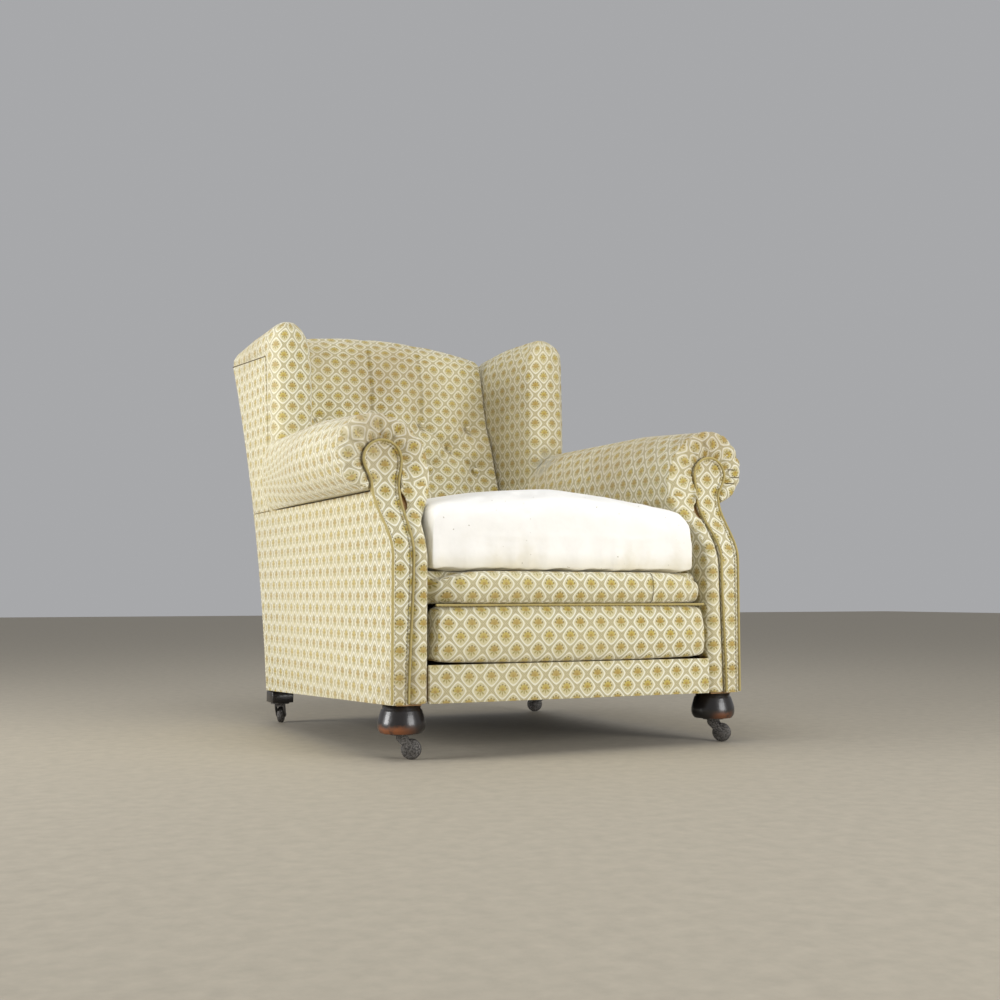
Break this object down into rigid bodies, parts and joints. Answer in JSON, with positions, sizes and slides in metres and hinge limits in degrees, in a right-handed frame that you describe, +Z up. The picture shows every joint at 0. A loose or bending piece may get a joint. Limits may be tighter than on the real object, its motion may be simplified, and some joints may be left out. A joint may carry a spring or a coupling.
{
  "type": "armchair",
  "caption": "Wing-back scroll-arm easy chair with a buttoned raked back, gathered arm fronts, a loose feather cushion, bun and block feet and iron castors.",
  "frame": {"origin": "on the floor under the middle of the chair's bounding box", "axes": "+X to the right as seen from the front, +Y to the back, +Z up"},
  "size_m": [0.8656, 1.059, 0.9224],
  "materials": {
    "brocade": "cream and gold woven brocade with a lattice of small flowers, soiled",
    "calico": "plain white cotton calico",
    "beech": "bare beech",
    "jute": "jute webbing and lacquered coil springs sewn to it",
    "hessian": "black bottom cloth",
    "ebonised": "ebonised and worn",
    "iron": "dull pitted iron"
  },
  "bodies": {
    "chair": {"back_button_1": "brocade", "back_button_10": "brocade", "back_button_11": "brocade", "back_button_2": "brocade", "back_button_3": "brocade", "back_button_4": "brocade", "back_button_5": "brocade", "back_button_6": "brocade", "back_button_7": "brocade", "back_button_8": "brocade", "back_button_9": "brocade", "back_left_castor_plate": "iron", "back_left_foot": "ebonised", "back_rail": "beech", "back_right_castor_plate": "iron", "back_right_foot": "ebonised", "back_webbing": "jute", "bottom_cloth": "hessian", "crest_rail": "beech", "front_border": "brocade", "front_left_castor_plate": "iron", "front_left_foot": "ebonised", "front_rail": "beech", "front_rail_cover": "brocade", "front_right_castor_plate": "iron", "front_right_foot": "ebonised", "inside_back": "brocade", "left_arm": "brocade", "left_arm_facing": "brocade", "left_arm_rail": "beech", "left_back_post": "beech", "left_front_post": "beech", "left_outside_arm": "brocade", "left_outside_wing": "brocade", "left_side_rail": "beech", "left_wing": "brocade", "left_wing_stile": "beech", "lower_back_rail": "beech", "outside_back": "brocade", "right_arm": "brocade", "right_arm_facing": "brocade", "right_arm_rail": "beech", "right_back_post": "beech", "right_front_post": "beech", "right_outside_arm": "brocade", "right_outside_wing": "brocade", "right_side_rail": "beech", "right_wing": "brocade", "right_wing_stile": "beech", "seat_cushion": "calico", "seat_deck": "brocade", "seat_webbing": "jute"},
    "front_left_fork": {"front_left_castor_fork": "iron"},
    "front_left_wheel": {"front_left_castor_wheel": "iron"},
    "front_right_fork": {"front_right_castor_fork": "iron"},
    "front_right_wheel": {"front_right_castor_wheel": "iron"},
    "back_left_fork": {"back_left_castor_fork": "iron"},
    "back_left_wheel": {"back_left_castor_wheel": "iron"},
    "back_right_fork": {"back_right_castor_fork": "iron"},
    "back_right_wheel": {"back_right_castor_wheel": "iron"}
  },
  "joints": [
    {"name": "front_left_swivel", "type": "hinge", "parent": "chair", "child": "front_left_fork", "pos_m": [-0.325, -0.47148, 0.04], "axis": [0, 0, 1], "continuous": true},
    {"name": "front_left_roll", "type": "hinge", "parent": "front_left_fork", "child": "front_left_wheel", "pos_m": [-0.30947, -0.4784, 0.018], "axis": [0.4067, 0.9135, 0], "continuous": true},
    {"name": "front_right_swivel", "type": "hinge", "parent": "chair", "child": "front_right_fork", "pos_m": [0.325, -0.47148, 0.04], "axis": [0, 0, 1], "continuous": true},
    {"name": "front_right_roll", "type": "hinge", "parent": "front_right_fork", "child": "front_right_wheel", "pos_m": [0.33593, -0.48451, 0.018], "axis": [0.766, 0.6428, 0], "continuous": true},
    {"name": "back_left_swivel", "type": "hinge", "parent": "chair", "child": "back_left_fork", "pos_m": [-0.328, 0.24452, 0.04], "axis": [0, 0, 1], "continuous": true},
    {"name": "back_left_roll", "type": "hinge", "parent": "back_left_fork", "child": "back_left_wheel", "pos_m": [-0.32055, 0.2598, 0.018], "axis": [-0.8988, 0.4384, 0], "continuous": true},
    {"name": "back_right_swivel", "type": "hinge", "parent": "chair", "child": "back_right_fork", "pos_m": [0.328, 0.24452, 0.04], "axis": [0, 0, 1], "continuous": true},
    {"name": "back_right_roll", "type": "hinge", "parent": "back_right_fork", "child": "back_right_wheel", "pos_m": [0.31247, 0.25143, 0.018], "axis": [-0.4067, -0.9135, 0], "continuous": true}
  ]
}
